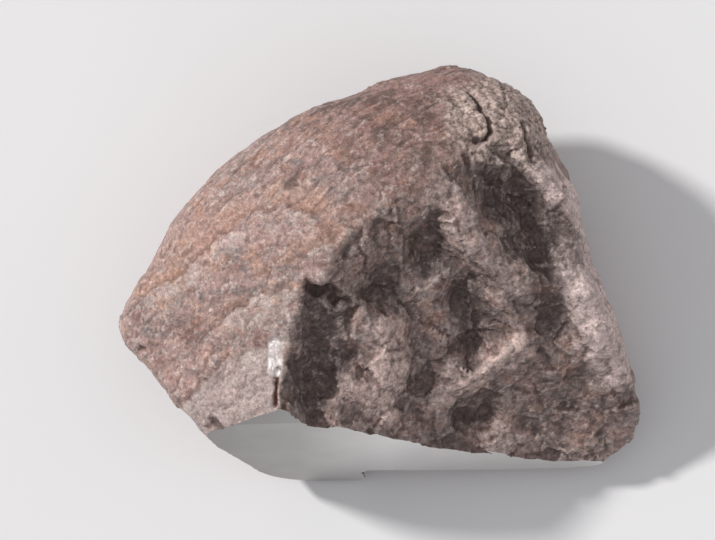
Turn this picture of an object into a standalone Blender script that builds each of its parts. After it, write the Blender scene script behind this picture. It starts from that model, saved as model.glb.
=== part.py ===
"""Iron meteorite: one weathered lump with a domed crust, a thumbprinted broken
side and one flat saw cut. Lengths are in millimetres until the mesh is written,
+Z is up, the stone lies on a small worn flat and the saw cut faces -Y."""

import bmesh
import bpy
import numpy as np

MM = 0.001

# ---------------------------------------------------------------- sampling
SKIN_POINTS = 9000            # points spread evenly over the ball that is shaped
SKIN_SPACING = 4.6            # edge length of the even skin laid over it
SETTLE_ROUNDS = 5             # rounds that even out the skin and pull it onto the stone
SETTLE_STEPS = 2              # pulls in each round
PROBE = 0.5                   # step used to measure the slope of the field
CENTRE = np.array([6.0, -6.0, 24.0])
REACH = 150.0                 # start of every inward ray
COARSE_STEP = 3.0
HALVINGS = 12
SNAP = 0.8                    # skin points this near a flat are laid on it

# ---------------------------------------------------------------- flats
CUT_NORMAL = np.array([0.0365, -0.953, 0.302])
CUT_POINT = np.array([-68.6, -58.9, 76.8])
SECOND_CUT_NORMAL = np.array([0.04, -0.84, 0.54])    # short slanting facet
SECOND_CUT_POINT = np.array([-39.4, -49.2, 94.0])
REST_NORMAL = np.array([0.0, 0.0, -1.0])
REST_POINT = np.array([0.0, 0.0, 0.0])

# ---------------------------------------------------------------- plan outline
OUTLINE_CENTRE = (0.0, -4.0)
OUTLINE = [                   # widest line of the stone, seen from above
    (-104.5, -21), (-100, -9), (-92, 3), (-84.5, 16), (-75, 30), (-66, 40.5),
    (-53, 50.5), (-41, 58.5), (-28, 65.5), (-9.5, 72), (10, 79.5), (24.5, 82.5),
    (35, 82), (43.5, 78), (54, 73), (61, 65.5), (63.5, 56), (70, 44.5),
    (76.5, 33), (78, 22), (81.5, 5.5), (88.5, -8), (96, -28), (101, -43.5),
    (103, -61), (98, -70), (89, -76), (86, -94), (-70.5, -94),
    (-73.5, -63), (-78.5, -55.5), (-86, -47), (-89.5, -37), (-97.5, -28.5),
]
OUTLINE_ROUNDING = 3          # degrees of smoothing between outline points
GIRTH = (50.0, -0.10, 0.10)   # height of the widest line and its slopes in x, y
WALL_BULGE = 190.0            # larger is a flatter side wall

# ---------------------------------------------------------------- upper crust
# each plane: x, y, height there, slope in x, slope in y
CRUST_PLANES = [
    (-30, -5, 98.5, -0.05, 0.10),     # crown
    (-38, -49, 93.5, 0.52, -0.05),    # left shoulder above the saw cut
    (-74, -20, 76.5, 0.75, -0.10),    # left flank
    (-32, 31, 93.5, 0.42, -0.42),     # back-left shoulder
    (-55, 38.5, 74, 0.75, -0.85),     # back-left flank
    (19, 50, 95, 0.05, -0.55),        # back shoulder
    (15, 70, 78, 0.10, -1.30),        # back flank
    (50, 62, 81, -0.40, -0.25),       # rough knob
    (60, 68, 66, -0.80, -0.90),       # outer side of the knob
]
CRUST_BLEND = 4.7

# ---------------------------------------------------------------- broken side
BROKEN_PLANES = [
    (-30, -5, 99, -0.27, 0.37),       # below the slanting ridge
    (39, 44.5, 89, -0.40, 0.15),    # right shoulder
]
BASIN = (12, -66, 53.5, -0.64, 0.25)    # middle of the broken side
SCARP = (-10, 4, 96, -1.30, 0.60)       # face below the plated crown
NOSE = (-38, -49, 93.5, -0.95, 0.10)   # right side of the ridge above the cut
APRON = (54, -68, 25, -0.12, 0.74)     # thin right-hand foot
BROKEN_BLEND = 2.0
APRON_BLEND = 3.0
RIM_BLEND = 2.0
RIDGE_BLEND = 1.0
# thumbprints: x and y of the deepest point, direction of the steep side in degrees,
# reach of the steep side, of the gentle side and to either side, depth
HOLLOWS = [
    (-24, -30, 168, 14, 13, 32, 8),
    (-25, -5, 115, 4.5, 6, 9, 6),
    (-4, -4, 160, 8, 16, 12, 6),
    (17, 13, 165, 10, 18, 13, 8),
    (48, 36, 145, 10, 17, 13, 12),
    (57, 23, 221, 14, 17, 34, 14),
    (63, -12, 175, 8, 18, 14, 6),
    (33, -6, 165, 10, 16, 15, 6.5),
    (39, -21, 150, 12, 12, 16, 7),
    (35, -52, 125, 8, 9, 12, 8),
    (27, -65, 150, 10, 14, 9, 4),
    (12, -46, 150, 10, 13, 13, 3),
    (82, -36, 115, 9, 15, 16, 3.5),
    (69, -52, 150, 8, 13, 11, 3),
    (94, -54, 150, 8, 12, 10, 2.5),
]
# rounded ridges left standing between the hollows: line, height, half width
RIBS = [
    ([(52, -24), (41, -36), (21, -46)], 5.0, 8.0),
    ([(-1, -16), (3, -30), (1, -48)], 5.5, 11.0),
    ([(23, 33), (35, 13), (47, -7)], 3.0, 8.0),
    ([(40, -57), (50, -62)], 3.0, 9.0),
    ([(68, 38), (75, 18), (82, -6), (92, -28)], 3.0, 10.0),
]

# ---------------------------------------------------------------- underside
# each facet: azimuth and elevation of its outward normal, and a point on it
UNDER_FACETS = [
    (227, -4, (-68.5, -59, 74)),
    (200, -50, (-93, -30, 32)),
    (125, -42, (-55, 42.5, 31)),
    (92, -40, (15, 74, 31)),
    (30, -45, (64, 50, 23.5)),
    (5, -45, (96, -8, 6)),
    (-50, -55, (93, -70, 7)),
    (190, -70, (-34, -8, 2)),
    (80, -60, (0, 25, 2)),
    (0, -79, (44, -8, 2)),
    (-90, -84, (7.5, -60, 2)),
    (0, -90, (7.5, -8, -1.6)),
]
NOTCH_POINT = (-7, -75.3, 16.0)   # lower edge of the saw cut steps up to its right
NOTCH_SLOPES = (-0.10, -0.58)
UNDER_BLEND = 3.9
SIDE_BLEND = 3.0              # rounds the side wall into the crust and the underside

# ---------------------------------------------------------------- small unevenness
WAVER = 2.1                   # sideways wander of the thumbprint rims
WAVER_LENGTH = 31.0
WAVER_TERMS = [               # direction in degrees, share of the wavelength, phase
    (15, 1.00, 0.4), (78, 0.71, 2.1), (132, 0.55, 4.0), (40, 0.43, 5.2),
    (165, 0.36, 1.3), (101, 0.30, 3.1),
]
LUMP = 0.40                   # low swelling of the whole skin
LUMP_LENGTH = 41.0


def unit(vector):
    return vector / np.linalg.norm(vector)


def soft_max(stack, blend):
    """Largest value of a stack, rounded off where two values meet."""
    stack = np.asarray(stack)
    top = np.max(stack, axis=0)
    return top + blend * np.log(np.sum(np.exp((stack - top) / blend), axis=0))


def soft_min(stack, blend):
    return -soft_max(-np.asarray(stack), blend)


def plane_height(x, y, plane):
    x0, y0, height, slope_x, slope_y = plane
    return height + slope_x * (x - x0) + slope_y * (y - y0)


def waves(x, y, length, shift):
    """Sum of a few crossing sine waves, about -1 to 1."""
    total = np.zeros(np.shape(x))
    for turn, share, phase in WAVER_TERMS:
        angle = np.radians(turn + 57.0 * shift)
        along = x * np.cos(angle) + y * np.sin(angle)
        total += share * np.sin(2 * np.pi * along / (length * share) + phase + 2.4 * shift)
    return total / 1.7


def outline_radius():
    """Radius of the plan outline about its centre, one value per degree."""
    points = np.array(OUTLINE) - np.array(OUTLINE_CENTRE)
    angle = np.degrees(np.arctan2(points[:, 1], points[:, 0])) % 360
    order = np.argsort(angle)
    radius = np.hypot(points[:, 0], points[:, 1])
    degrees = np.arange(360.0)
    table = np.interp(degrees, angle[order], radius[order], period=360)
    smooth = sum(np.roll(table, k) for k in range(-OUTLINE_ROUNDING, OUTLINE_ROUNDING + 1))
    return smooth / (2 * OUTLINE_ROUNDING + 1)


OUTLINE_RADIUS = outline_radius()


def line_distance(x, y, line):
    """Distance in plan to an open line, and which side of it: + is on its right."""
    best, side = np.full(len(x), 1e9), np.zeros(len(x))
    for (ax, ay), (bx, by) in zip(line[:-1], line[1:]):
        ex, ey = bx - ax, by - ay
        along = np.clip(((x - ax) * ex + (y - ay) * ey) / (ex * ex + ey * ey), 0, 1)
        gap = np.hypot(x - ax - along * ex, y - ay - along * ey)
        side = np.where(gap < best, np.sign((x - ax) * ey - (y - ay) * ex), side)
        best = np.minimum(best, gap)
    return best, side


def crust_height(x, y):
    crust = soft_min([plane_height(x, y, p) for p in CRUST_PLANES], CRUST_BLEND)
    return crust + 0.6 * CRUST_BLEND


def thumbprints(x, y):
    """Height of the ribs less the depth of the hollows."""
    wx = x + WAVER * waves(x, y, WAVER_LENGTH, 0)
    wy = y + WAVER * waves(x, y, WAVER_LENGTH, 1)
    depths = [np.zeros(np.shape(x))]
    for cx, cy, facing, steep, gentle, sideways, depth in HOLLOWS:
        angle = np.radians(facing)
        dx, dy = wx - cx, wy - cy
        u = dx * np.cos(angle) + dy * np.sin(angle)
        v = (dy * np.cos(angle) - dx * np.sin(angle)) / sideways
        u = u / np.where(u > 0, steep, gentle)
        depths.append(depth * (1 - u * u - v * v))
    rises = [np.zeros(np.shape(x))]
    for line, height, half_width in RIBS:
        gap, _ = line_distance(wx, wy, line)
        rises.append(height * (1 - (gap / half_width) ** 2))
    return soft_max(rises, RIM_BLEND) - soft_max(depths, RIM_BLEND)


def broken_height(x, y):
    floor = soft_max([plane_height(x, y, p) for p in (BASIN, SCARP, APRON)], APRON_BLEND)
    slopes = [plane_height(x, y, p) for p in BROKEN_PLANES]
    side = soft_min([*slopes, floor], BROKEN_BLEND)
    side = soft_max([side, plane_height(x, y, NOSE)], BROKEN_BLEND)
    return side + thumbprints(x, y)


def stone(points):
    """Signed field of the uncut stone: negative inside."""
    x, y, z = points.T
    top = soft_min([crust_height(x, y), broken_height(x, y)], RIDGE_BLEND)
    above_top = 0.75 * (z - top)

    px, py = x - OUTLINE_CENTRE[0], y - OUTLINE_CENTRE[1]
    angle = np.degrees(np.arctan2(py, px)) % 360
    radius = np.interp(angle, np.arange(360.0), OUTLINE_RADIUS, period=360)
    girth = GIRTH[0] + GIRTH[1] * x + GIRTH[2] * y
    outside_wall = 0.95 * (np.hypot(px, py) - radius) + (z - girth) ** 2 / WALL_BULGE

    facets = []
    for azimuth, elevation, point in UNDER_FACETS:
        a, e = np.radians(azimuth), np.radians(elevation)
        normal = np.array([np.cos(e) * np.cos(a), np.cos(e) * np.sin(a), np.sin(e)])
        facets.append((points - np.array(point)) @ normal)
    below = soft_max(facets, UNDER_BLEND) - 0.6 * UNDER_BLEND
    notch_roof = plane_height(x, y, (*NOTCH_POINT, *NOTCH_SLOPES))
    notch = np.minimum(0.85 * (notch_roof - z), 0.8 * (x - NOTCH_POINT[0]))
    below = soft_max([below, notch], 1.0)

    lumps = LUMP * waves(x + 0.6 * z, y - 0.5 * z, LUMP_LENGTH, 2)
    return soft_max([above_top, outside_wall, below], SIDE_BLEND) + lumps


def ball_directions(count):
    """Unit vectors spread evenly over a ball along a golden-angle spiral."""
    step = np.arange(count) + 0.5
    polar = np.arccos(1 - 2 * step / count)
    turn = np.pi * (1 + 5**0.5) * step
    return np.column_stack(
        [np.cos(turn) * np.sin(polar), np.sin(turn) * np.sin(polar), np.cos(polar)]
    )


def shape_skin(directions):
    """Walk each ray inwards to the stone, then halve the last step."""
    count = len(directions)
    inner, outer = np.zeros(count), np.full(count, REACH)
    waiting = np.arange(count)
    distance = REACH
    while len(waiting) and distance > 0:
        distance -= COARSE_STEP
        inside = stone(CENTRE + directions[waiting] * distance) < 0
        inner[waiting[inside]] = distance
        outer[waiting[inside]] = distance + COARSE_STEP
        waiting = waiting[~inside]
    for _ in range(HALVINGS):
        middle = (inner + outer) / 2
        inside = stone(CENTRE + directions * middle[:, None]) < 0
        inner = np.where(inside, middle, inner)
        outer = np.where(inside, outer, middle)
    return CENTRE + directions * inner[:, None]


def snap_to_flats(points, flats):
    """Lay skin points that almost touch a flat exactly on it, to avoid slivers."""
    for point, normal in flats:
        height = (points - point) @ normal
        near = np.abs(height) < SNAP
        points[near] -= height[near, None] * normal
    return points


def slice_flat(mesh, point, normal):
    """Cut the closed mesh with one plane and cap it with flat triangles."""
    geometry = mesh.verts[:] + mesh.edges[:] + mesh.faces[:]
    bmesh.ops.bisect_plane(mesh, geom=geometry, dist=1e-7, plane_co=point * MM,
                           plane_no=normal, clear_outer=True)
    rim = [edge for edge in mesh.edges if edge.is_boundary]
    bmesh.ops.triangle_fill(mesh, edges=rim, use_beauty=True, normal=normal)


def iron_material():
    material = bpy.data.materials.new("meteoritic_iron")
    material.use_nodes = True
    shader = material.node_tree.nodes["Principled BSDF"]
    shader.inputs["Base Color"].default_value = (0.30, 0.21, 0.19, 1.0)
    shader.inputs["Metallic"].default_value = 0.7
    shader.inputs["Roughness"].default_value = 0.6
    return material


def rough_ball():
    """The stone shaped ray by ray: right in form, but stretched on steep walls."""
    directions = ball_directions(SKIN_POINTS)
    ball = bmesh.new()
    for direction in directions:
        ball.verts.new(direction)
    bmesh.ops.convex_hull(ball, input=ball.verts[:])
    bmesh.ops.recalc_face_normals(ball, faces=ball.faces[:])
    ball.verts.index_update()
    skin = shape_skin(directions)
    for vert in ball.verts:
        vert.co = skin[vert.index] * MM
    data = bpy.data.meshes.new("rough_ball")
    ball.to_mesh(data)
    ball.free()
    return data


def even_skin(rough):
    """Lay an evenly spaced closed skin over the rough form."""
    holder = bpy.data.objects.new("rough_ball", rough)
    bpy.context.collection.objects.link(holder)
    remesh = holder.modifiers.new("even", "REMESH")
    remesh.mode = "VOXEL"
    remesh.voxel_size = SKIN_SPACING * MM
    graph = bpy.context.evaluated_depsgraph_get()
    skin = bpy.data.meshes.new_from_object(holder.evaluated_get(graph))
    bpy.data.objects.remove(holder, do_unlink=True)
    return skin


def relax(points, edges):
    """Move each point half way to the middle of its neighbours."""
    total, count = np.zeros_like(points), np.zeros(len(points))
    for near, far in (edges.T, edges.T[::-1]):
        np.add.at(total, near, points[far])
        np.add.at(count, near, 1)
    return 0.5 * points + 0.5 * total / count[:, None]


def settle(points):
    """Pull points onto the surface of the stone along the slope of its field."""
    probes = np.eye(3) * PROBE
    for _ in range(SETTLE_STEPS):
        value = stone(points)
        slope = np.stack([stone(points + step) - stone(points - step) for step in probes], 1)
        slope /= 2 * PROBE
        length = np.maximum(np.linalg.norm(slope, axis=1), 0.5)
        move = np.clip(value / length, -1.0, 1.0)
        points = points - (move / length)[:, None] * slope
    return points


def build_meteorite():
    data = even_skin(rough_ball())
    points = np.array([vert.co for vert in data.vertices]) / MM
    edges = np.array([edge.vertices[:] for edge in data.edges])
    for _ in range(SETTLE_ROUNDS):
        points = settle(relax(points, edges))
    points = relax(points, edges)
    flats = [
        (CUT_POINT, unit(CUT_NORMAL)),
        (SECOND_CUT_POINT, unit(SECOND_CUT_NORMAL)),
        (REST_POINT, REST_NORMAL),
    ]
    points = snap_to_flats(points, flats) * MM
    data.vertices.foreach_set("co", points.ravel())

    mesh = bmesh.new()
    mesh.from_mesh(data)
    bmesh.ops.triangulate(mesh, faces=mesh.faces[:])
    for point, normal in flats:
        slice_flat(mesh, point, normal)
    bmesh.ops.dissolve_degenerate(mesh, dist=1e-6, edges=mesh.edges[:])
    bmesh.ops.triangulate(mesh, faces=mesh.faces[:])
    bmesh.ops.recalc_face_normals(mesh, faces=mesh.faces[:])

    data.name = "meteorite"
    mesh.to_mesh(data)
    mesh.free()
    data.materials.append(iron_material())
    body = bpy.data.objects.new("meteorite", data)
    bpy.context.collection.objects.link(body)
    return body


for old in list(bpy.data.objects):
    bpy.data.objects.remove(old, do_unlink=True)
build_meteorite()
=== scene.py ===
"""Looks of the iron meteorite: a finely weathered crust laid over the broad form of
the stone, a polished saw cut and a pale table, in sunlight from the upper left
with soft fill from above and all round. Some shade, highlights, lit slopes and
the cut's reflection are painted into the colours. Lengths in the shape code are
millimetres; the mesh is written in metres."""

import bmesh
import bpy
import numpy as np
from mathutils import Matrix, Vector


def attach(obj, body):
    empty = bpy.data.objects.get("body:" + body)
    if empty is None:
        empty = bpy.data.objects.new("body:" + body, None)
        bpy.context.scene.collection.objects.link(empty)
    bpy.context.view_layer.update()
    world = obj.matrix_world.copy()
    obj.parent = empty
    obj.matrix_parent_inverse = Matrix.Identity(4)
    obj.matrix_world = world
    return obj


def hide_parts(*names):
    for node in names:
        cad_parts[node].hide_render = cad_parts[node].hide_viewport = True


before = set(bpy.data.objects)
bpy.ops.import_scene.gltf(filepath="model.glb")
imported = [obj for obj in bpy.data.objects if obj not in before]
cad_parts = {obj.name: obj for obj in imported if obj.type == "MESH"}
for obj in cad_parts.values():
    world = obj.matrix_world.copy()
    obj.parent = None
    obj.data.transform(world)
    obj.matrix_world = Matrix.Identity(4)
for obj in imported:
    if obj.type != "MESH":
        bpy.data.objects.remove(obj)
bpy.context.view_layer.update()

MM = 0.001

# ---------------------------------------------------------------- sampling
SKIN_POINTS = 9000            # points spread evenly over the ball that is shaped
SKIN_SPACING = 1.0            # edge length of the even skin laid over it
SETTLE_ROUNDS = 3             # rounds that even out the skin and pull it onto the stone
SETTLE_STEPS = 2              # pulls in each round
PROBE = 0.5                   # step used to measure the slope of the field
FLATTEST_SLOPE = 0.5          # slopes below this count as this when pulling
LONGEST_PULL = 1.0
CENTRE = np.array([6.0, -6.0, 24.0])
REACH = 150.0                 # start of every inward ray
COARSE_STEP = 3.0
HALVINGS = 12
UNDERSIDE_SHARE = 0.35        # share of the fine relief kept on the underside
SMOOTHING = 0.8               # how far one smoothing round moves a point, 1 is all the way
FINE_ROUNDS = 4               # smoothing rounds that bring out crevices and sharp edges
FINE_DEPTH = 0.12             # depth of a full crevice
BROAD_ROUNDS = 40             # smoothing rounds that bring out hollows
BROAD_DEPTH = 0.8             # depth of a full hollow
CRUST_SLOT = 0                # material slots of the skin
CUT_SLOT = 1

# ---------------------------------------------------------------- flats
CUT_NORMAL = np.array([0.0365, -0.953, 0.302])
CUT_POINT = np.array([-68.6, -58.9, 76.8])
SECOND_CUT_NORMAL = np.array([0.04, -0.84, 0.54])    # short slanting facet
SECOND_CUT_POINT = np.array([-39.4, -49.2, 94.0])
REST_NORMAL = np.array([0.0, 0.0, -1.0])
REST_POINT = np.array([0.0, 0.0, 0.0])

# ---------------------------------------------------------------- plan outline
OUTLINE_CENTRE = (0.0, -4.0)
OUTLINE = [                   # widest line of the stone, seen from above
    (-104.5, -21), (-100, -9), (-92, 3), (-84.5, 16), (-75, 30), (-66, 40.5),
    (-53, 50.5), (-41, 58.5), (-28, 65.5), (-9.5, 72), (10, 79.5), (24.5, 82.5),
    (35, 82), (43.5, 78), (54, 73), (61, 65.5), (63.5, 56), (70, 44.5),
    (76.5, 33), (78, 22), (81.5, 5.5), (88.5, -8), (96, -28), (101, -43.5),
    (103, -61), (98, -70), (89, -76), (86, -94), (-70.5, -94),
    (-73.5, -63), (-78.5, -55.5), (-86, -47), (-89.5, -37), (-97.5, -28.5),
]
OUTLINE_ROUNDING = 3          # degrees of smoothing between outline points
GIRTH = (50.0, -0.10, 0.10)   # height of the widest line and its slopes in x, y
WALL_BULGE = 190.0            # larger is a flatter side wall

# ---------------------------------------------------------------- upper crust
# each plane: x, y, height there, slope in x, slope in y
CRUST_PLANES = [
    (-30, -5, 98.5, -0.05, 0.10),     # crown
    (-38, -49, 93.5, 0.52, -0.05),    # left shoulder above the saw cut
    (-74, -20, 76.5, 0.75, -0.10),    # left flank
    (-32, 31, 93.5, 0.42, -0.42),     # back-left shoulder
    (-55, 38.5, 74, 0.75, -0.85),     # back-left flank
    (19, 50, 95, 0.05, -0.55),        # back shoulder
    (15, 70, 78, 0.10, -1.30),        # back flank
    (50, 62, 81, -0.40, -0.25),       # rough knob
    (60, 68, 66, -0.80, -0.90),       # outer side of the knob
]
CRUST_BLEND = 4.7

# ---------------------------------------------------------------- broken side
BROKEN_PLANES = [
    (-30, -5, 99, -0.27, 0.37),       # below the slanting ridge
    (39, 44.5, 89, -0.40, 0.15),    # right shoulder
]
BASIN = (12, -66, 53.5, -0.64, 0.25)    # middle of the broken side
SCARP = (-10, 4, 96, -1.30, 0.60)       # face below the plated crown
NOSE = (-38, -49, 93.5, -0.95, 0.10)   # right side of the ridge above the cut
APRON = (54, -68, 25, -0.12, 0.74)     # thin right-hand foot
BROKEN_BLEND = 2.0
APRON_BLEND = 3.0
RIM_BLEND = 2.0
RIDGE_BLEND = 1.0
# thumbprints: x and y of the deepest point, direction of the steep side in degrees,
# reach of the steep side, of the gentle side and to either side, depth
HOLLOWS = [
    (-24, -30, 168, 14, 13, 32, 8),
    (-25, -5, 115, 4.5, 6, 9, 6),
    (-4, -4, 160, 8, 16, 12, 6),
    (17, 13, 165, 10, 18, 13, 8),
    (48, 36, 145, 10, 17, 13, 12),
    (57, 23, 221, 14, 17, 34, 14),
    (63, -12, 175, 8, 18, 14, 6),
    (33, -6, 165, 10, 16, 15, 6.5),
    (39, -21, 150, 12, 12, 16, 7),
    (35, -52, 125, 8, 9, 12, 8),
    (27, -65, 150, 10, 14, 9, 4),
    (12, -46, 150, 10, 13, 13, 3),
    (82, -36, 115, 9, 15, 16, 3.5),
    (69, -52, 150, 8, 13, 11, 3),
    (94, -54, 150, 8, 12, 10, 2.5),
]
# rounded ridges left standing between the hollows: line, height, half width
RIBS = [
    ([(52, -24), (41, -36), (21, -46)], 5.0, 8.0),
    ([(-1, -16), (3, -30), (1, -48)], 5.5, 11.0),
    ([(23, 33), (35, 13), (47, -7)], 3.0, 8.0),
    ([(40, -57), (50, -62)], 3.0, 9.0),
    ([(68, 38), (75, 18), (82, -6), (92, -28)], 3.0, 10.0),
]

# ---------------------------------------------------------------- underside
# each facet: azimuth and elevation of its outward normal, and a point on it
UNDER_FACETS = [
    (227, -4, (-68.5, -59, 74)),
    (200, -50, (-93, -30, 32)),
    (125, -42, (-55, 42.5, 31)),
    (92, -40, (15, 74, 31)),
    (30, -45, (64, 50, 23.5)),
    (5, -45, (96, -8, 6)),
    (-50, -55, (93, -70, 7)),
    (190, -70, (-34, -8, 2)),
    (80, -60, (0, 25, 2)),
    (0, -79, (44, -8, 2)),
    (-90, -84, (7.5, -60, 2)),
    (0, -90, (7.5, -8, -1.6)),
]
NOTCH_POINT = (-7, -75.3, 16.0)   # lower edge of the saw cut steps up to its right
NOTCH_SLOPES = (-0.10, -0.58)
UNDER_BLEND = 3.9
SIDE_BLEND = 3.0              # rounds the side wall into the crust and the underside

# ---------------------------------------------------------------- small unevenness
WAVER = 2.1                   # sideways wander of the thumbprint rims
WAVER_LENGTH = 31.0
WAVER_TERMS = [               # direction in degrees, share of the wavelength, phase
    (15, 1.00, 0.4), (78, 0.71, 2.1), (132, 0.55, 4.0), (40, 0.43, 5.2),
    (165, 0.36, 1.3), (101, 0.30, 3.1),
]
LUMP = 0.40                   # low swelling of the whole skin
LUMP_LENGTH = 41.0


def unit(vector):
    return vector / np.linalg.norm(vector)


def soft_max(stack, blend):
    """Largest value of a stack, rounded off where two values meet."""
    stack = np.asarray(stack)
    top = np.max(stack, axis=0)
    return top + blend * np.log(np.sum(np.exp((stack - top) / blend), axis=0))


def soft_min(stack, blend):
    return -soft_max(-np.asarray(stack), blend)


def plane_height(x, y, plane):
    x0, y0, height, slope_x, slope_y = plane
    return height + slope_x * (x - x0) + slope_y * (y - y0)


def waves(x, y, length, shift):
    """Sum of a few crossing sine waves, about -1 to 1."""
    total = np.zeros(np.shape(x))
    for turn, share, phase in WAVER_TERMS:
        angle = np.radians(turn + 57.0 * shift)
        along = x * np.cos(angle) + y * np.sin(angle)
        total += share * np.sin(2 * np.pi * along / (length * share) + phase + 2.4 * shift)
    return total / 1.7


def outline_radius():
    """Radius of the plan outline about its centre, one value per degree."""
    points = np.array(OUTLINE) - np.array(OUTLINE_CENTRE)
    angle = np.degrees(np.arctan2(points[:, 1], points[:, 0])) % 360
    order = np.argsort(angle)
    radius = np.hypot(points[:, 0], points[:, 1])
    degrees = np.arange(360.0)
    table = np.interp(degrees, angle[order], radius[order], period=360)
    smooth = sum(np.roll(table, k) for k in range(-OUTLINE_ROUNDING, OUTLINE_ROUNDING + 1))
    return smooth / (2 * OUTLINE_ROUNDING + 1)


OUTLINE_RADIUS = outline_radius()


def line_distance(x, y, line):
    """Distance in plan to an open line, and which side of it: + is on its right."""
    best, side = np.full(len(x), 1e9), np.zeros(len(x))
    for (ax, ay), (bx, by) in zip(line[:-1], line[1:]):
        ex, ey = bx - ax, by - ay
        along = np.clip(((x - ax) * ex + (y - ay) * ey) / (ex * ex + ey * ey), 0, 1)
        gap = np.hypot(x - ax - along * ex, y - ay - along * ey)
        side = np.where(gap < best, np.sign((x - ax) * ey - (y - ay) * ex), side)
        best = np.minimum(best, gap)
    return best, side


def crust_height(x, y):
    crust = soft_min([plane_height(x, y, p) for p in CRUST_PLANES], CRUST_BLEND)
    return crust + 0.6 * CRUST_BLEND


def thumbprints(x, y):
    """Height of the ribs less the depth of the hollows."""
    wx = x + WAVER * waves(x, y, WAVER_LENGTH, 0)
    wy = y + WAVER * waves(x, y, WAVER_LENGTH, 1)
    depths = [np.zeros(np.shape(x))]
    for cx, cy, facing, steep, gentle, sideways, depth in HOLLOWS:
        angle = np.radians(facing)
        dx, dy = wx - cx, wy - cy
        u = dx * np.cos(angle) + dy * np.sin(angle)
        v = (dy * np.cos(angle) - dx * np.sin(angle)) / sideways
        u = u / np.where(u > 0, steep, gentle)
        depths.append(depth * (1 - u * u - v * v))
    rises = [np.zeros(np.shape(x))]
    for line, height, half_width in RIBS:
        gap, _ = line_distance(wx, wy, line)
        rises.append(height * (1 - (gap / half_width) ** 2))
    return soft_max(rises, RIM_BLEND) - soft_max(depths, RIM_BLEND)


def broken_height(x, y):
    floor = soft_max([plane_height(x, y, p) for p in (BASIN, SCARP, APRON)], APRON_BLEND)
    slopes = [plane_height(x, y, p) for p in BROKEN_PLANES]
    side = soft_min([*slopes, floor], BROKEN_BLEND)
    side = soft_max([side, plane_height(x, y, NOSE)], BROKEN_BLEND)
    return side + thumbprints(x, y)


def stone(points):
    """Signed field of the uncut stone: negative inside."""
    x, y, z = points.T
    top = soft_min([crust_height(x, y), broken_height(x, y)], RIDGE_BLEND)
    above_top = 0.75 * (z - top)

    px, py = x - OUTLINE_CENTRE[0], y - OUTLINE_CENTRE[1]
    angle = np.degrees(np.arctan2(py, px)) % 360
    radius = np.interp(angle, np.arange(360.0), OUTLINE_RADIUS, period=360)
    girth = GIRTH[0] + GIRTH[1] * x + GIRTH[2] * y
    outside_wall = 0.95 * (np.hypot(px, py) - radius) + (z - girth) ** 2 / WALL_BULGE

    facets = []
    for azimuth, elevation, point in UNDER_FACETS:
        a, e = np.radians(azimuth), np.radians(elevation)
        normal = np.array([np.cos(e) * np.cos(a), np.cos(e) * np.sin(a), np.sin(e)])
        facets.append((points - np.array(point)) @ normal)
    below = soft_max(facets, UNDER_BLEND) - 0.6 * UNDER_BLEND
    notch_roof = plane_height(x, y, (*NOTCH_POINT, *NOTCH_SLOPES))
    notch = np.minimum(0.85 * (notch_roof - z), 0.8 * (x - NOTCH_POINT[0]))
    below = soft_max([below, notch], 1.0)

    lumps = LUMP * waves(x + 0.6 * z, y - 0.5 * z, LUMP_LENGTH, 2)
    return soft_max([above_top, outside_wall, below], SIDE_BLEND) + lumps


def ball_directions(count):
    """Unit vectors spread evenly over a ball along a golden-angle spiral."""
    step = np.arange(count) + 0.5
    polar = np.arccos(1 - 2 * step / count)
    turn = np.pi * (1 + 5**0.5) * step
    return np.column_stack(
        [np.cos(turn) * np.sin(polar), np.sin(turn) * np.sin(polar), np.cos(polar)]
    )


def shape_skin(directions):
    """Walk each ray inwards to the stone, then halve the last step."""
    count = len(directions)
    inner, outer = np.zeros(count), np.full(count, REACH)
    waiting = np.arange(count)
    distance = REACH
    while len(waiting) and distance > 0:
        distance -= COARSE_STEP
        inside = stone(CENTRE + directions[waiting] * distance) < 0
        inner[waiting[inside]] = distance
        outer[waiting[inside]] = distance + COARSE_STEP
        waiting = waiting[~inside]
    for _ in range(HALVINGS):
        middle = (inner + outer) / 2
        inside = stone(CENTRE + directions * middle[:, None]) < 0
        inner = np.where(inside, middle, inner)
        outer = np.where(inside, outer, middle)
    return CENTRE + directions * inner[:, None]


# ---------------------------------------------------------------- noise
LATTICE = np.random.RandomState(11).permutation(256)
GRADIENTS = np.random.RandomState(12).normal(size=(256, 3))
GRADIENTS /= np.linalg.norm(GRADIENTS, axis=1)[:, None]
OFFSETS = np.random.RandomState(13).uniform(size=(256, 3))


def lattice_index(i):
    i = i & 255
    return LATTICE[(LATTICE[(LATTICE[i[:, 0]] + i[:, 1]) & 255] + i[:, 2]) & 255]


def noise(points, size, seed=0):
    """Smooth noise, about -1 to 1, with lumps of the given size."""
    q = points / size + seed * 19.37
    cell = np.floor(q).astype(np.int64)
    f = q - cell
    u = f * f * f * (f * (f * 6 - 15) + 10)
    total = np.zeros(len(points))
    for dx in (0, 1):
        for dy in (0, 1):
            for dz in (0, 1):
                corner = np.array([dx, dy, dz])
                grad = GRADIENTS[lattice_index(cell + corner)]
                weight = np.prod(np.where(corner, u, 1 - u), axis=1)
                total += weight * np.sum(grad * (f - corner), axis=1)
    return total * 1.6


def layered(points, size, layers, seed=0, gain=0.5):
    """Several octaves of noise."""
    total, share = np.zeros(len(points)), 1.0
    for k in range(layers):
        total += share * noise(points, size / 2**k, seed + 7 * k)
        share *= gain
    return total


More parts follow.
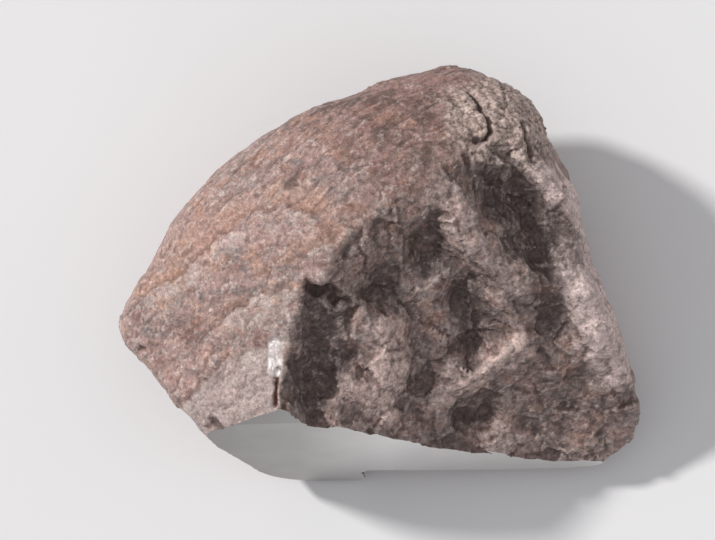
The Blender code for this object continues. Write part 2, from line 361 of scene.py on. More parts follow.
def cells(points, size, seed=0):
    """Distances to the nearest two scattered points and the nearest one's number."""
    q = points / size + seed * 23.71
    home = np.floor(q).astype(np.int64)
    first, second = np.full(len(q), 9.0), np.full(len(q), 9.0)
    number = np.zeros(len(q), dtype=np.int64)
    for dx in (-1, 0, 1):
        for dy in (-1, 0, 1):
            for dz in (-1, 0, 1):
                cell = home + np.array([dx, dy, dz])
                index = lattice_index(cell)
                gap = np.linalg.norm(cell + OFFSETS[index] - q, axis=1)
                closer = gap < first
                second = np.where(closer, first, np.minimum(second, gap))
                number = np.where(closer, index, number)
                first = np.where(closer, gap, first)
    return first, second, number / 255.0


def facets(points, size, tilt, seed=0):
    """Height of a patchwork of flat facets, each tilted its own way."""
    q = points / size + seed * 23.71
    home = np.floor(q).astype(np.int64)
    first, height = np.full(len(q), 9.0), np.zeros(len(q))
    for dx in (-1, 0, 1):
        for dy in (-1, 0, 1):
            for dz in (-1, 0, 1):
                cell = home + np.array([dx, dy, dz])
                index = lattice_index(cell)
                arm = q - cell - OFFSETS[index]
                gap = np.linalg.norm(arm, axis=1)
                closer = gap < first
                height = np.where(closer, np.sum(arm * GRADIENTS[index], axis=1), height)
                first = np.where(closer, gap, first)
    return height * size * tilt


def step(value, low, high):
    """Smooth ramp from 0 at low to 1 at high."""
    t = np.clip((value - low) / (high - low), 0, 1)
    return t * t * (3 - 2 * t)


def turned(points, degrees, along, across):
    """Points turned in plan and squeezed, so that noise on them runs in streaks."""
    angle = np.radians(degrees)
    x, y, z = points.T
    return np.column_stack([
        (x * np.cos(angle) + y * np.sin(angle)) / along,
        (y * np.cos(angle) - x * np.sin(angle)) / across,
        z / across,
    ])


# ---------------------------------------------------------------- skin detail
FLOW = 38                     # direction in plan of the crust's streaks and facets, degrees
SPLIT = -52                   # direction in plan of the broken iron's facets
# patchworks of small facets: size, tilt, noise seed
BROKEN_FACETS = [(13.0, 0.13, 31), (6.5, 0.14, 32), (3.4, 0.12, 33)]
CRUST_FACETS = [(9.0, 0.09, 36), (4.5, 0.07, 34), (2.4, 0.06, 35)]
SCALE_PITCH = 8.5             # spacing of the overlapping scales
SCALE_CLIMB = (-0.62, 0.78)   # direction in plan in which they climb
SCALE_HEIGHT = 0.50
KNOB_LUMP = 5.2               # size of the lumps on the knob
PORE_SPACING = 6.5
PORE_RADIUS = 1.25
PORE_DEPTH = 0.8
DARK_CRACK_DEPTH = 2.5        # deeper cracks get painted shade
# upper edge of the fresh facet, which lies between it and the saw cut
FRESH_EDGE = [(-78, -50), (-67.5, -38), (-60.5, -31), (-44.5, -25), (-37, -23)]
# plates of crust: edge line walked with the plate on its right, height, fade length, rusty edge
PLATES = [
    ([(-86, -4), (-70.5, 6.5), (-62, 15), (-55, 20.5), (-46.5, 24.5), (-37.5, 28),
      (-31.5, 27), (-24.5, 22), (-20, 15)], 1.3, 30, True),
    ([(-64, -19), (-55, -12), (-46.5, -8), (-37.5, -5), (-30, -2.5)], 0.8, 22, False),
    (FRESH_EDGE, -0.9, 60, False),
    ([(-22, 12), (-14, 20), (-8, 18), (-5, 10), (-5.5, 2), (-10, -4), (-20, -3)], 2.0, 14, True),
]
# cracks: line, half width, depth
CRACKS = [
    ([(34.5, 71.5), (37, 69), (39, 65.5), (40.5, 62), (42.2, 60), (42, 56.5), (39.5, 54)],
     1.3, 3.2),
    ([(54, 60.5), (54.7, 56.7), (55, 54), (57, 51.4), (57.8, 46.8)], 1.2, 2.6),
    ([(49, 47.3), (51.5, 48.6), (54, 50)], 0.8, 1.6),
    ([(-29.0, -2.0), (-24.5, -4.6), (-20.0, -5.2), (-17.5, -8.5)], 3.6, 3.0),
    ([(46, 76), (47.5, 73), (47, 70)], 0.8, 1.4),
]
# pits: x, y, radius, depth
PITS = [
    (-93.2, -27.3, 2.0, 2.4),
    (37.0, 53.5, 3.0, 2.6),
    (58.0, 45.0, 2.2, 1.6),
    (47.0, 66.0, 1.4, 1.1),
    (-65.0, -56.5, 4.2, 2.0),
    (-14.0, -8.5, 3.0, 1.6),
    (-94.5, -22.0, 1.5, 1.0),
    (29.5, 43.0, 1.1, 0.9),
    (20.5, 52.0, 1.0, 0.8),
    (-6.0, 32.0, 1.0, 0.8),
]
SLOT_LINE = [(-40.4, -34.5), (-40.6, -47.6)]    # rusty groove on the ridge above the cut
SLOT_HALF_WIDTH = 1.5
SLOT_DEPTH = 2.0
BARE_LINE = [(-40.5, -25.5), (-41.0, -34.0)]    # bright bare metal above the groove
BARE_HALF_WIDTH = 3.6
# calmer slopes along the right of the stone, lightened with painted light
LIT_SLOPE_LINE = [(62, 50), (68, 38), (74, 22), (80, 0), (88, -18), (90, -32)]
LIT_SLOPE_HALF_WIDTH = 15.0
PALE_CALM = 0.40              # share of the fine relief lost there


def zones(points):
    """Shares of each point that belong to the dome, the knob and the fresh facet."""
    x, y, z = points.T
    sway = 3.0 * layered(points, 16, 3, 40)
    dome = step(crust_height(x, y) - broken_height(x, y) + sway, 1.5, -1.5)
    knob = step(np.hypot((x - 49) / 1.25, y - 62) + sway, 24, 16) * step(z, 30, 45)
    gap, side = line_distance(x, y, FRESH_EDGE)
    fresh = step(side * gap, -0.3, 1.0) * step(x + sway * 0.2, -36, -39) * dome
    return dome, knob, fresh


def rough_relief(points, dome, knob, fresh):
    """Lumps and streaks of the whole skin, and small facets at random tilts."""
    broken = 1 - dome
    relief = 0.50 * layered(points, 22, 3, 1) * (0.4 + broken)
    relief += 0.22 * layered(points, 8.0, 4, 2, 0.55) * (0.4 + 0.6 * broken + 1.2 * knob)
    streaks = layered(turned(points, FLOW, 2.6, 1.0), 3.2, 3, 3, 0.55)
    relief += 0.26 * streaks * dome * (1 - 0.6 * fresh)
    swirl = np.column_stack([layered(points, 9, 3, 21 + k) for k in range(3)])
    split = turned(points, SPLIT, 1.5, 0.9)
    for size, tilt, seed in BROKEN_FACETS:
        relief += facets(split + 0.08 * size * swirl, size, tilt, seed) * (broken + 0.6 * knob)
    flow = turned(points, FLOW, 2.0, 1.0)
    rough = step(noise(points, 20, 44), -0.5, 0.5) * (1 - 0.6 * fresh)
    for size, tilt, seed in CRUST_FACETS:
        patch = facets(flow + 0.20 * size * swirl, size, tilt, seed)
        relief += patch * dome * (0.35 + 0.65 * rough)
    return relief


def scale_relief(points, dome):
    """Overlapping scales with one steep side, and the share of each point on their lips, which get
    painted shade.
    """
    x, y, _ = points.T
    drift = 2.2 * layered(points, 14, 3, 5)
    along = x * SCALE_CLIMB[0] + y * SCALE_CLIMB[1]
    climb = (along + drift) / SCALE_PITCH + 0.35 * noise(points, 9, 6)
    saw = climb - np.floor(climb)
    scales = dome * step(noise(points, 26, 8), -0.45, 0.1)
    relief = SCALE_HEIGHT * (saw - 0.5) * step(saw, 1.0, 0.90) * scales
    return relief, step(saw, 0.80, 0.97) * scales


def plate_relief(points, dome, wobble):
    """Raised plates of crust, their rims, lightened as a painted highlight, and the rust along
    their edges.
    """
    x, y, _ = points.T
    relief, rim, rust = (np.zeros(len(points)) for _ in range(3))
    patchy = step(noise(points, 7, 43), -0.5, 0.4)
    for line, height, fade, rusty in PLATES:
        gap, side = line_distance(x + wobble, y - wobble, line)
        inside = side * gap
        relief += height * step(inside, -1.2, 0.8) * step(inside, fade, fade * 0.25) * dome
        rim = np.maximum(rim, step(inside, -0.6, 0.4) * step(inside, 12.0, 1.0) * dome * patchy)
        rust = np.maximum(rust, step(inside, -15.0, -3.0) * step(inside, 0.5, -0.5) * rusty)
    return relief, rim, rust * dome


def knob_relief(points, knob, broken, wobble):
    """Lumps of the rough knob, and pores, which are deepest there."""
    first, second, number = cells(points + 0.8 * wobble[:, None], KNOB_LUMP, 2)
    seams = step((second - first) * KNOB_LUMP, 0.9, 0.0) * step(number, 0.45, 0.8)
    relief = knob * (0.6 * layered(points, 4.5, 4, 12, 0.65) - 0.5 * seams)
    near, _, number = cells(points, PORE_SPACING, 5)
    pore = step(near * PORE_SPACING, PORE_RADIUS, 0.3) * step(number, 0.62, 0.7)
    return relief - PORE_DEPTH * pore * (0.35 + knob + 0.3 * broken)


def mark_relief(points, ragged):
    """Cracks, pits and the slot, and the shares of each point in holes darkened with painted shade
    and in the slot.
    """
    x, y, z = points.T
    relief, hole_shade = np.zeros(len(points)), np.zeros(len(points))
    high = step(z, 35, 45)
    for line, half_width, depth in CRACKS:
        gap, side = line_distance(x + 2 * ragged, y - 2 * ragged, line)
        dip = step(gap, half_width, 0.1) * high
        relief += 0.5 * step(gap, 5.0, half_width) * (side > 0) * high - depth * dip
        hole_shade = np.maximum(hole_shade, 1.5 * dip * (depth > DARK_CRACK_DEPTH))
    gap, _ = line_distance(x + 0.8 * ragged, y, SLOT_LINE)
    slot = step(gap, SLOT_HALF_WIDTH, SLOT_HALF_WIDTH * 0.55) * step(z, 60, 70)
    relief -= SLOT_DEPTH * slot
    for cx, cy, radius, depth in PITS:
        waver = 0.55 * radius * layered(points, radius, 3, 15, 0.6)
        gap = np.hypot(x - cx + 1.5 * ragged, 1.3 * (y - cy) - ragged) + waver
        dip = step(gap, radius, radius * 0.3) * step(z, 30, 40)
        relief -= depth * dip
        hole_shade = np.maximum(hole_shade, dip * step(radius, 1.4, 2.6))
    return relief, hole_shade, slot


def detail(points):
    """Height of the fine relief above the broad form, and the masks it is made with."""
    x, y, z = points.T
    dome, knob, fresh = zones(points)
    broken = 1 - dome
    wobble = 2.2 * layered(points, 9, 4, 9, 0.6)
    ragged = 0.5 * layered(points, 4, 2, 14)
    scales, lip_shade = scale_relief(points, dome)
    plates, rim, rust = plate_relief(points, dome, wobble)
    marks, hole_shade, slot = mark_relief(points, ragged)
    relief = rough_relief(points, dome, knob, fresh) + scales + plates + marks
    relief += knob_relief(points, knob, broken, wobble)

    prints = thumbprints(x + 1.6 * wobble, y - 1.6 * wobble) * broken
    # slopes along the right, lightened with painted light
    gap, _ = line_distance(x + 3 * wobble, y - 3 * wobble, LIT_SLOPE_LINE)
    pale = step(gap, LIT_SLOPE_HALF_WIDTH, LIT_SLOPE_HALF_WIDTH * 0.5) * broken
    gap, _ = line_distance(x + 0.9 * ragged, y - 1.4 * ragged, BARE_LINE)
    bare = step(gap, BARE_HALF_WIDTH, BARE_HALF_WIDTH - 1.0) * step(z, 60, 70)
    redness = step(0.5 * x + 0.85 * y + 9 * noise(points, 20, 41), 5, 60) * dome
    relief *= 1 - PALE_CALM * pale
    return relief, {
        "dome": dome,
        "knob": knob,
        "fresh": fresh,
        "lip_shade": lip_shade,
        "rim": rim,
        "rust": rust,
        "red": redness,
        "hole_shade": hole_shade,
        "slot": slot,
        "bare": bare,
        "pale": pale,
        # painted shade in the thumbprints; on the raised ribs, partly wear and partly painted light
        "sunk_shade": step(prints, -0.6, -5.5),
        "worn_and_lit": step(prints, 0.8, 3.8),
    }


# ---------------------------------------------------------------- mesh
def rough_ball():
    """The stone shaped ray by ray: right in form, but stretched on steep walls."""
    directions = ball_directions(SKIN_POINTS)
    ball = bmesh.new()
    for direction in directions:
        ball.verts.new(direction)
    bmesh.ops.convex_hull(ball, input=ball.verts[:])
    bmesh.ops.recalc_face_normals(ball, faces=ball.faces[:])
    ball.verts.index_update()
    skin = shape_skin(directions)
    for vert in ball.verts:
        vert.co = skin[vert.index] * MM
    data = bpy.data.meshes.new("rough_ball")
    ball.to_mesh(data)
    ball.free()
    return data


def even_skin(rough):
    """Lay an evenly spaced closed skin over the rough form."""
    holder = bpy.data.objects.new("rough_ball", rough)
    bpy.context.collection.objects.link(holder)
    remesh = holder.modifiers.new("even", "REMESH")
    remesh.mode = "VOXEL"
    remesh.voxel_size = SKIN_SPACING * MM
    graph = bpy.context.evaluated_depsgraph_get()
    skin = bpy.data.meshes.new_from_object(holder.evaluated_get(graph))
    bpy.data.objects.remove(holder, do_unlink=True)
    return skin


def relax(points, edges, share=0.5):
    """Move each point part way to the middle of its neighbours."""
    total, count = np.zeros_like(points), np.zeros(len(points))
    for near, far in (edges.T, edges.T[::-1]):
        count += np.bincount(near, minlength=len(points))
        for axis in range(3):
            total[:, axis] += np.bincount(near, points[far, axis], len(points))
    return (1 - share) * points + share * total / count[:, None]


def field_slope(points):
    probes = np.eye(3) * PROBE
    slope = np.stack([stone(points + probe) - stone(points - probe) for probe in probes], 1)
    return slope / (2 * PROBE)


def settle(points):
    """Pull points onto the surface of the stone along the slope of its field."""
    for _ in range(SETTLE_STEPS):
        slope = field_slope(points)
        length = np.maximum(np.linalg.norm(slope, axis=1), FLATTEST_SLOPE)
        move = np.clip(stone(points) / length, -LONGEST_PULL, LONGEST_PULL)
        points = points - (move / length)[:, None] * slope
    return points


def normals_of(points, faces):
    """Vertex normals of a quad mesh."""
    a, b, c, d = (points[faces[:, k]] for k in range(4))
    flat = np.cross(c - a, d - b)
    total = np.zeros_like(points)
    for k in range(4):
        for axis in range(3):
            total[:, axis] += np.bincount(faces[:, k], flat[:, axis], len(points))
    return total / np.maximum(np.linalg.norm(total, axis=1), 1e-9)[:, None]


def hollowness(points, normals, edges, rounds):
    """How far a smoothed copy of the skin stands off it: + in hollows, - on edges."""
    smooth = points
    for _ in range(rounds):
        smooth = relax(smooth, edges, SMOOTHING)
    return np.sum((smooth - points) * normals, axis=1)


def add_values(data, name, values):
    data.attributes.new(name, "FLOAT", "POINT").data.foreach_set("value", values.astype(np.float32))


def slice_flat(mesh, point, normal, slot):
    """Cut the closed mesh with one plane and cap it with flat triangles."""
    geometry = mesh.verts[:] + mesh.edges[:] + mesh.faces[:]
    bmesh.ops.bisect_plane(mesh, geom=geometry, dist=1e-7, plane_co=point * MM,
                           plane_no=normal, clear_outer=True)
    rim = [edge for edge in mesh.edges if edge.is_boundary]
    filled = bmesh.ops.triangle_fill(mesh, edges=rim, use_beauty=True, normal=normal)
    for item in filled["geom"]:
        if isinstance(item, bmesh.types.BMFace):
            item.material_index = slot
            item.smooth = False


def build_skin():
    """Even skin pulled onto the stone, given its fine relief and cut flat."""
    data = even_skin(rough_ball())
    count = len(data.vertices)
    points = np.empty(count * 3)
    data.vertices.foreach_get("co", points)
    points = points.reshape(-1, 3) / MM
    edges = np.empty(len(data.edges) * 2, dtype=np.int32)
    data.edges.foreach_get("vertices", edges)
    edges = edges.reshape(-1, 2)
    faces = np.empty(len(data.loops), dtype=np.int32)
    data.loops.foreach_get("vertex_index", faces)
    faces = faces.reshape(-1, 4)

    for _ in range(SETTLE_ROUNDS):
        points = settle(relax(points, edges))
    normals = normals_of(points, faces)
    relief, masks = detail(points)
    relief *= UNDERSIDE_SHARE + (1 - UNDERSIDE_SHARE) * step(normals[:, 2], -0.5, 0.0)
    points = points + relief[:, None] * normals
    normals = normals_of(points, faces)
    fine = hollowness(points, normals, edges, FINE_ROUNDS) / FINE_DEPTH
    broad = hollowness(points, normals, edges, BROAD_ROUNDS) / BROAD_DEPTH
    data.vertices.foreach_set("co", (points * MM).ravel())
    # sharp edges: partly wear, partly painted highlight; crevices and hollows: painted shade
    masks["edge"] = np.clip(-fine, 0, 1)
    masks["crevice_shade"] = np.clip(fine, 0, 1)
    masks["hollow_shade"] = np.clip(broad, 0, 1)
    for name, values in masks.items():
        add_values(data, name, values)

    mesh = bmesh.new()
    mesh.from_mesh(data)
    for face in mesh.faces:
        face.smooth = True
        face.material_index = CRUST_SLOT
    slice_flat(mesh, CUT_POINT, unit(CUT_NORMAL), CUT_SLOT)
    slice_flat(mesh, SECOND_CUT_POINT, unit(SECOND_CUT_NORMAL), CUT_SLOT)
    slice_flat(mesh, REST_POINT, REST_NORMAL, CRUST_SLOT)
    bmesh.ops.recalc_face_normals(mesh, faces=mesh.faces[:])
    mesh.to_mesh(data)
    mesh.free()
    data.name = "meteorite_skin"
    return data


# ---------------------------------------------------------------- materials
class Nodes:
    """Short names for building a material's node tree."""

    def __init__(self, name):
        self.material = bpy.data.materials.new(name)
        self.material.use_nodes = True
        self.tree = self.material.node_tree
        self.shader = self.tree.nodes["Principled BSDF"]
        self.coords = self.tree.nodes.new("ShaderNodeTexCoord").outputs["Object"]

    def link(self, source, target):
        """Connect a socket, or set a plain value on the target."""
        if isinstance(source, (int, float, tuple)):
            target.default_value = source
        else:
            self.tree.links.new(source, target)

    def mapped(self, turn, scale):
        """Object coordinates scaled, then turned about z by some degrees."""
        node = self.tree.nodes.new("ShaderNodeMapping")
        node.inputs["Rotation"].default_value = (0, 0, np.radians(turn))
        node.inputs["Scale"].default_value = scale
        self.link(self.coords, node.inputs["Vector"])
        return node.outputs["Vector"]

    def noise(self, size_mm, detail, rough, vector=None):
        node = self.tree.nodes.new("ShaderNodeTexNoise")
        node.inputs["Scale"].default_value = 1000.0 / size_mm
        node.inputs["Detail"].default_value = detail
        node.inputs["Roughness"].default_value = rough
        self.link(vector or self.coords, node.inputs["Vector"])
        return node.outputs["Fac"]

    def facets(self, size_mm):
        """Patchwork of flat facets: tint of each patch, and height of its tilt in mm."""
        cells = self.tree.nodes.new("ShaderNodeTexVoronoi")
        cells.inputs["Scale"].default_value = 1000.0 / size_mm
        self.link(self.coords, cells.inputs["Vector"])
        arm = self.vector("SUBTRACT", self.coords, cells.outputs["Position"])
        tilt = self.vector("SUBTRACT", cells.outputs["Color"], (0.5, 0.5, 0.5))
        dot = self.tree.nodes.new("ShaderNodeVectorMath")
        dot.operation = "DOT_PRODUCT"
        self.link(arm, dot.inputs[0])
        self.link(tilt, dot.inputs[1])
        return cells.outputs["Color"], self.math("MULTIPLY", dot.outputs["Value"], 1000.0)

    def vector(self, kind, a, b):
        node = self.tree.nodes.new("ShaderNodeVectorMath")
        node.operation = kind
        self.link(a, node.inputs[0])
        self.link(b, node.inputs[1])
        return node.outputs["Vector"]

    def value(self, name):
        """One of the values stored at each point of the skin."""
        node = self.tree.nodes.new("ShaderNodeAttribute")
        node.attribute_name = name
        return node.outputs["Fac"]

    def ramp(self, source, *stops):
        """Map a value through grey stops (position, value)."""
        node = self.tree.nodes.new("ShaderNodeValToRGB")
        band = node.color_ramp
        while len(band.elements) > 1:
            band.elements.remove(band.elements[-1])
        for k, (place, level) in enumerate(stops):
            stop = band.elements[0] if k == 0 else band.elements.new(place)
            stop.position = place
            colour = level if isinstance(level, tuple) else (level,) * 3
            stop.color = (*colour, 1.0)
        self.link(source, node.inputs["Fac"])
        return node.outputs["Color"]

    def math(self, kind, *terms):
        node = self.tree.nodes.new("ShaderNodeMath")
        node.operation = kind
        for k, term in enumerate(terms):
            self.link(term, node.inputs[k])
        return node.outputs["Value"]

    def times(self, a, b):
        return self.math("MULTIPLY", a, b)

    def across(self, axis):
        """Distance along one axis of the stone, in metres."""
        node = self.tree.nodes.new("ShaderNodeSeparateXYZ")
        self.link(self.coords, node.inputs["Vector"])
        return node.outputs[axis]

    def mix(self, share, a, b, kind="MIX"):
        node = self.tree.nodes.new("ShaderNodeMix")
        node.data_type = "RGBA"
        node.blend_type = kind
        for source, target in ((share, node.inputs[0]), (a, node.inputs[6]), (b, node.inputs[7])):
            if isinstance(source, tuple):
                source = (*source, 1.0)
            self.link(source, target)
        return node.outputs[2]

    def patches(self, base, rows, drawn=None):
        """Blend noisy patches of other colours into a colour, row by row."""
        for colour, size_mm, detail, rough, start, full, share, drawn_out in rows:
            spread = self.noise(size_mm, detail, rough, drawn if drawn_out else None)
            base = self.mix(self.ramp(spread, (start, 0.0), (full, share)), base, colour)
        return base

    def tinted(self, base, name, share, colour, start=0.0, full=1.0):
        """Blend a colour in where the named skin value is high."""
        return self.mix(self.ramp(self.value(name), (start, 0.0), (full, share)), base, colour)

    def shaded(self, base, source, *stops):
        """Lighten and darken a colour with a grey ramp."""
        return self.mix(1.0, base, self.ramp(source, *stops), "MULTIPLY")

    def bump(self, height, distance_mm, strength, normal=None):
        node = self.tree.nodes.new("ShaderNodeBump")
        node.inputs["Strength"].default_value = strength
        node.inputs["Distance"].default_value = distance_mm * MM
        self.link(height, node.inputs["Height"])
        if normal is not None:
            self.link(normal, node.inputs["Normal"])
        return node.outputs["Normal"]


# ---------------------------------------------------------------- colours
PINK_BROWN = (0.395, 0.250, 0.220)
WARM_GREY = (0.345, 0.272, 0.252)
BLUE_GREY = (0.225, 0.183, 0.180)
ORANGE = (0.490, 0.265, 0.185)
RED_BROWN = (0.235, 0.120, 0.098)
SCORCHED = (0.120, 0.070, 0.060)
FRESH_GREY = (0.500, 0.410, 0.395)
DARK_GREY = (0.320, 0.243, 0.226)
# also painted shade on scale lips, in holes and in crevices
UMBER = (0.095, 0.060, 0.052)
# painted shade in the thumbprints and hollows
PAINTED_SHADE = (0.098, 0.072, 0.067)
# raised ribs: partly wear, partly painted light
WORN_AND_LIT_PINK = (0.740, 0.550, 0.500)
# painted light on the slopes along the right
LIT_SLOPE_PINK = (0.740, 0.580, 0.550)
SANDY = (0.760, 0.600, 0.515)
# also painted highlight on plate rims and sharp edges
CREAM = (0.640, 0.530, 0.490)
SLOT_BROWN = (0.110, 0.040, 0.026)
BARE_METAL = (0.740, 0.690, 0.680)
# patches: colour, size in mm, noise detail and roughness, noise level where a patch
# starts and where it is full, its share, whether it is drawn out
DOME_PATCHES = [
    (WARM_GREY, 26, 5, 0.60, 0.42, 0.62, 0.80, False),
    (RED_BROWN, 11, 7, 0.75, 0.50, 0.60, 0.75, True),
    (BLUE_GREY, 7, 6, 0.75, 0.53, 0.62, 0.90, True),
    (ORANGE, 13, 7, 0.75, 0.51, 0.62, 0.70, False),
    (CREAM, 4.2, 6, 0.80, 0.54, 0.64, 0.85, False),
]
BROKEN_PATCHES = [
    (WARM_GREY, 14, 5, 0.65, 0.42, 0.60, 1.00, False),
    (PINK_BROWN, 8, 6, 0.75, 0.47, 0.60, 0.80, False),
    (UMBER, 3, 6, 0.75, 0.54, 0.68, 0.80, False),
    (ORANGE, 11, 6, 0.75, 0.52, 0.64, 0.50, False),
]
# turn in degrees and scale of the noise; a scale below 1 draws it out along that axis
DRAWN_OUT = (-38, (0.5, 1, 1))
STREAKS = (20, (1, 0.35, 1))
CUT_REFLECTION_LENGTH = 0.160            # metres across the cut over which its painted reflection brightens


def dome_colour(n):
    """Pink-brown crust with greyer, redder and orange patches."""
    drawn = n.mapped(*DRAWN_OUT)
    base = n.patches(PINK_BROWN, DOME_PATCHES, drawn)
    rust = n.times(n.value("rust"), n.ramp(n.noise(7, 6, 0.7, drawn), (0.40, 0.1), (0.56, 1.0)))
    base = n.mix(n.times(rust, 0.6), base, ORANGE)
    base = n.tinted(base, "fresh", 0.60, FRESH_GREY)
    base = n.tinted(base, "red", 0.50, RED_BROWN)
    scorched = n.ramp(n.noise(10, 6, 0.7), (0.48, 0.0), (0.58, 0.75))
    return n.mix(n.times(n.value("red"), scorched), base, SCORCHED)


def broken_colour(n):
    """Grey iron, pale where it stands proud, partly wear and partly painted light, pale on the
    slopes along its right as painted light, and dark with painted shade in the thumbprints and
    hollows.
    """
    base = n.patches(DARK_GREY, BROKEN_PATCHES)
    patchy = n.ramp(n.noise(5, 5, 0.7), (0.38, 0.65), (0.56, 1.0))
    # raised ribs lighter: partly wear, partly painted light
    base = n.mix(n.times(n.times(n.value("worn_and_lit"), patchy), 0.85), base, WORN_AND_LIT_PINK)
    # painted light on the slopes along the right
    base = n.mix(n.times(n.value("pale"), 0.80), base, LIT_SLOPE_PINK)
    # painted shade in the thumbprints and broad hollows
    sunk_shade = n.math("MAXIMUM", n.value("sunk_shade"), n.times(n.value("hollow_shade"), 0.6))
    return n.mix(n.times(n.times(sunk_shade, patchy), 0.92), base, PAINTED_SHADE)


def stained_colour(n, base, grain):
    """Painted shade on scale lips, in holes and in crevices, sharp edges lightened as partly wear
    and partly a painted highlight, plate rims lightened as a painted highlight, and the rusty slot.
    """
    # painted shade on scale lips, in holes and in crevices
    base = n.tinted(base, "lip_shade", 0.60, UMBER)
    base = n.tinted(base, "hole_shade", 0.70, UMBER)
    base = n.tinted(base, "crevice_shade", 0.45, UMBER, start=0.25)
    # sharp edges lightened: partly wear, partly painted highlight
    edge = n.times(n.ramp(n.value("edge"), (0.45, 0.0), (1.0, 0.32)),
                   n.ramp(grain, (0.40, 0.1), (0.58, 1.0)))
    base = n.mix(edge, base, CREAM)
    # painted highlight along the plate rims
    rim = n.times(n.value("rim"), n.ramp(n.noise(7, 5, 0.7), (0.42, 0.0), (0.60, 0.75)))
    base = n.mix(rim, base, CREAM)
    return n.tinted(base, "slot", 1.0, SLOT_BROWN, start=0.2, full=0.8)


def crust_material():
    """Colour, shine and fine bumps of the crust and the broken iron."""
    n = Nodes("weathered_crust")
    dome = n.value("dome")
    grain = n.noise(1.7, 5, 0.75)
    speck = n.noise(0.9, 3, 0.8)
    tint, facet = n.facets(2.2)
    fine_tint, fine_facet = n.facets(1.1)

    base = n.mix(dome, broken_colour(n), dome_colour(n))
    sandy = n.mix(n.ramp(grain, (0.38, 0.0), (0.56, 1.0)), WARM_GREY, SANDY)
    base = n.tinted(base, "knob", 0.6, sandy)
    base = stained_colour(n, base, grain)
    base = n.shaded(base, grain, (0.34, 0.62), (0.50, 1.0), (0.66, 1.32))
    base = n.shaded(base, speck, (0.34, 0.76), (0.66, 1.24))
    faceted = n.shaded(base, tint, (0.25, 0.84), (0.75, 1.16))
    base = n.mix(n.ramp(dome, (0.0, 1.0), (1.0, 0.4)), base, faceted)
    streaks = n.noise(2.4, 4, 0.7, n.mapped(*STREAKS))
    bare = n.times(n.value("bare"), n.ramp(streaks, (0.40, 0.15), (0.54, 1.0)))
    n.link(n.mix(bare, base, BARE_METAL), n.shader.inputs["Base Color"])

    glint = n.times(n.ramp(fine_tint, (0.66, 0.0), (0.74, 1.0)),
                    n.ramp(dome, (0.0, 0.5), (1.0, 0.25)))
    n.link(n.math("MAXIMUM", glint, n.times(bare, 0.7)), n.shader.inputs["Metallic"])
    rough = n.ramp(grain, (0.3, 0.42), (0.7, 0.68))
    n.link(n.mix(bare, rough, (0.34, 0.34, 0.34)), n.shader.inputs["Roughness"])
    n.shader.inputs["Specular IOR Level"].default_value = 0.45
    bumps = n.bump(n.noise(2.6, 6, 0.80), 0.52, 0.9)
    bumps = n.bump(facet, 0.40, 0.8, bumps)
    bumps = n.bump(fine_facet, 0.30, 0.7, bumps)
    n.link(n.bump(speck, 0.12, 0.8, bumps), n.shader.inputs["Normal"])
    return n.material


def cut_material():
    """Bare sawn metal, its colour brightening towards its right end as a painted reflection."""
    n = Nodes("polished_cut_painted_reflection")
    along = n.math("MULTIPLY_ADD", n.across("X"), 1.0 / CUT_REFLECTION_LENGTH, 0.5)
    metal = n.ramp(along, (0.05, (0.27, 0.26, 0.255)), (0.30, (0.42, 0.41, 0.40)),
                   (0.52, (0.80, 0.785, 0.775)), (0.85, (0.80, 0.775, 0.76)))
    metal = n.shaded(metal, n.noise(38, 3, 0.5), (0.3, 0.94), (0.7, 1.0))
    n.link(metal, n.shader.inputs["Base Color"])
    n.shader.inputs["Metallic"].default_value = 1.0
    n.link(n.ramp(n.noise(12, 4, 0.6), (0.3, 0.36), (0.7, 0.44)), n.shader.inputs["Roughness"])
    return n.material


def floor_material():
    """Pale matt table, very slightly mottled."""
    n = Nodes("pale_table")
    n.link(n.ramp(n.noise(300, 3, 0.5), (0.3, (0.80, 0.795, 0.805)), (0.7, (0.83, 0.825, 0.835))),
           n.shader.inputs["Base Color"])
    n.shader.inputs["Roughness"].default_value = 0.7
    return n.material


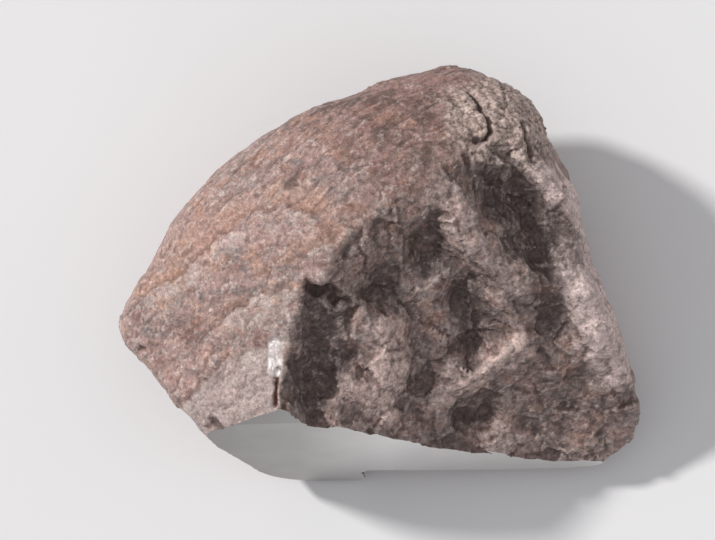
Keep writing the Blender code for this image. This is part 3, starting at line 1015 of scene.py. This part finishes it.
# ---------------------------------------------------------------- set
CAMERA_HEIGHT = 2.4           # lengths of the set are metres
CAMERA_AIM = (-0.0092, 0.0035)
SENSOR_WIDTH = 36.0           # millimetres
VIEW_WIDTH = 0.2789           # width of the picture at the widest line of the stone
GIRTH_HEIGHT = 0.045          # height of that line
TABLE_SIZE = 8.0
SUN_DIRECTION = (-0.717, 0.359, 0.598)
SUN_SPREAD = 6.0              # degrees
SUN_STRENGTH = 2.65
SUN_COLOUR = (1.0, 0.985, 0.97)
TOP_SPREAD = 100.0            # broad soft light straight above
TOP_STRENGTH = 0.50
TOP_COLOUR = (0.98, 0.99, 1.0)
SKY_STRENGTH = 0.33
SKY_COLOUR = (0.98, 0.98, 1.0, 1.0)


def add_floor():
    bpy.ops.mesh.primitive_plane_add(size=TABLE_SIZE, location=(0, 0, 0))
    floor = bpy.context.object
    floor.name = "table"
    floor.data.materials.append(floor_material())


def add_sun(name, direction, spread, strength, colour):
    sun = bpy.data.lights.new(name, "SUN")
    sun.energy = strength
    sun.angle = np.radians(spread)
    sun.color = colour
    lamp = bpy.data.objects.new(name, sun)
    lamp.rotation_mode = "QUATERNION"
    lamp.rotation_quaternion = Vector(direction).to_track_quat("Z", "Y")
    bpy.context.collection.objects.link(lamp)


def add_lights():
    add_sun("key", SUN_DIRECTION, SUN_SPREAD, SUN_STRENGTH, SUN_COLOUR)
    add_sun("top_fill", (0, 0, 1), TOP_SPREAD, TOP_STRENGTH, TOP_COLOUR)
    world = bpy.data.worlds.new("soft_room")
    world.use_nodes = True
    sky = world.node_tree.nodes["Background"]
    sky.inputs["Color"].default_value = SKY_COLOUR
    sky.inputs["Strength"].default_value = SKY_STRENGTH
    bpy.context.scene.world = world


def add_camera():
    lens = bpy.data.cameras.new("camera")
    lens.sensor_width = SENSOR_WIDTH
    lens.lens = SENSOR_WIDTH * (CAMERA_HEIGHT - GIRTH_HEIGHT) / VIEW_WIDTH
    camera = bpy.data.objects.new("camera", lens)
    camera.location = (*CAMERA_AIM, CAMERA_HEIGHT)
    bpy.context.collection.objects.link(camera)
    bpy.context.scene.camera = camera


skin = build_skin()
skin.materials.append(crust_material())
skin.materials.append(cut_material())
stone_piece = bpy.data.objects.new("meteorite_skin", skin)
bpy.context.collection.objects.link(stone_piece)
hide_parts("meteorite")
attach(stone_piece, "root")
add_floor()
add_lights()
add_camera()
bpy.context.scene.view_settings.view_transform = "Standard"
